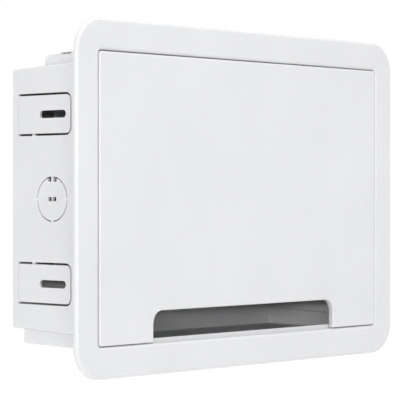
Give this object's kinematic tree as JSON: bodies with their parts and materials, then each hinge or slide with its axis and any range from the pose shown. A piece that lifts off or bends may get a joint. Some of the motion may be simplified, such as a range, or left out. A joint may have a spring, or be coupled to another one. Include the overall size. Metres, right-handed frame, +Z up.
{
  "type": "fiber termination box",
  "caption": "Recessed in-wall fibre termination box: flush lift-off cover with a cable notch, rounded trim frame, deep back box with stud tabs and knockouts, splice tray and adapter module.",
  "frame": {"origin": "centre of the trim flange's rear face, on the wall surface, in the middle of the wall opening", "axes": "+X to the right seen from the room, +Y into the wall, +Z up"},
  "size_m": [0.38, 0.1084, 0.266],
  "materials": {
    "white_plastic": "satin white moulded plastic, very fine grain",
    "grey_plastic": "light grey moulded plastic",
    "adapter_green": "green moulded plastic, semi-gloss",
    "cap_plastic": "translucent off-white soft plastic",
    "comb_rubber": "matt dark foam rubber",
    "clear_plastic": "clear polycarbonate sheet",
    "screw_steel": "zinc-plated steel"
  },
  "bodies": {
    "box": {"trim_frame": "white_plastic", "back_box": "white_plastic", "trim_screw_1": "screw_steel", "trim_screw_2": "screw_steel", "trim_screw_3": "screw_steel", "trim_screw_4": "screw_steel", "module_base": "grey_plastic", "module_screw_1": "screw_steel", "module_screw_2": "screw_steel", "module_screw_3": "screw_steel", "module_screw_4": "screw_steel", "adapter_bracket": "grey_plastic", "bracket_screw_left": "screw_steel", "bracket_screw_right": "screw_steel", "fiber_adapter_1": "adapter_green", "fiber_adapter_2": "adapter_green", "fiber_adapter_3": "adapter_green", "fiber_adapter_4": "adapter_green", "tray_pin_left": "screw_steel", "tray_pin_right": "screw_steel", "cable_clamp_left": "grey_plastic", "cable_clamp_right": "grey_plastic", "clamp_screw_left_outer": "screw_steel", "clamp_screw_left_inner": "screw_steel", "clamp_screw_right_outer": "screw_steel", "clamp_screw_right_inner": "screw_steel"},
    "cover": {"cover_panel": "white_plastic"},
    "tab_left_upper": {"stud_tab_left_upper": "white_plastic"},
    "tab_left_lower": {"stud_tab_left_lower": "white_plastic"},
    "tab_right_upper": {"stud_tab_right_upper": "white_plastic"},
    "tab_right_lower": {"stud_tab_right_lower": "white_plastic"},
    "cap_1": {"dust_cap_1": "cap_plastic"},
    "cap_2": {"dust_cap_2": "cap_plastic"},
    "cap_3": {"dust_cap_3": "cap_plastic"},
    "cap_4": {"dust_cap_4": "cap_plastic"},
    "tray": {"splice_tray": "grey_plastic", "splice_comb": "comb_rubber"},
    "lid": {"tray_lid": "clear_plastic"}
  },
  "joints": [
    {"name": "cover_lift_off", "type": "slide", "parent": "box", "child": "cover", "axis": [0, -1, 0], "range_m": [0, 0.15]},
    {"name": "tab_left_upper_flex", "type": "hinge", "parent": "box", "child": "tab_left_upper", "pos_m": [-0.15428, 0.097, 0.064], "axis": [0, 0, -1], "range_deg": [0, 20]},
    {"name": "tab_left_lower_flex", "type": "hinge", "parent": "box", "child": "tab_left_lower", "pos_m": [-0.15428, 0.097, -0.065], "axis": [0, 0, -1], "range_deg": [0, 20]},
    {"name": "tab_right_upper_flex", "type": "hinge", "parent": "box", "child": "tab_right_upper", "pos_m": [0.15428, 0.097, 0.064], "axis": [0, 0, 1], "range_deg": [0, 20]},
    {"name": "tab_right_lower_flex", "type": "hinge", "parent": "box", "child": "tab_right_lower", "pos_m": [0.15428, 0.097, -0.065], "axis": [0, 0, 1], "range_deg": [0, 20]},
    {"name": "cap_1_pull", "type": "slide", "parent": "box", "child": "cap_1", "axis": [0, 0, -1], "range_m": [0, 0.012]},
    {"name": "cap_2_pull", "type": "slide", "parent": "box", "child": "cap_2", "axis": [0, 0, -1], "range_m": [0, 0.012]},
    {"name": "cap_3_pull", "type": "slide", "parent": "box", "child": "cap_3", "axis": [0, 0, -1], "range_m": [0, 0.012]},
    {"name": "cap_4_pull", "type": "slide", "parent": "box", "child": "cap_4", "axis": [0, 0, -1], "range_m": [0, 0.012]},
    {"name": "tray_tilt", "type": "hinge", "parent": "box", "child": "tray", "pos_m": [0, 0.083, 0.0085], "axis": [1, 0, 0], "range_deg": [0, 40]},
    {"name": "lid_open", "type": "hinge", "parent": "tray", "child": "lid", "pos_m": [0, 0.076, 0.0086], "axis": [1, 0, 0], "range_deg": [0, 50]}
  ]
}
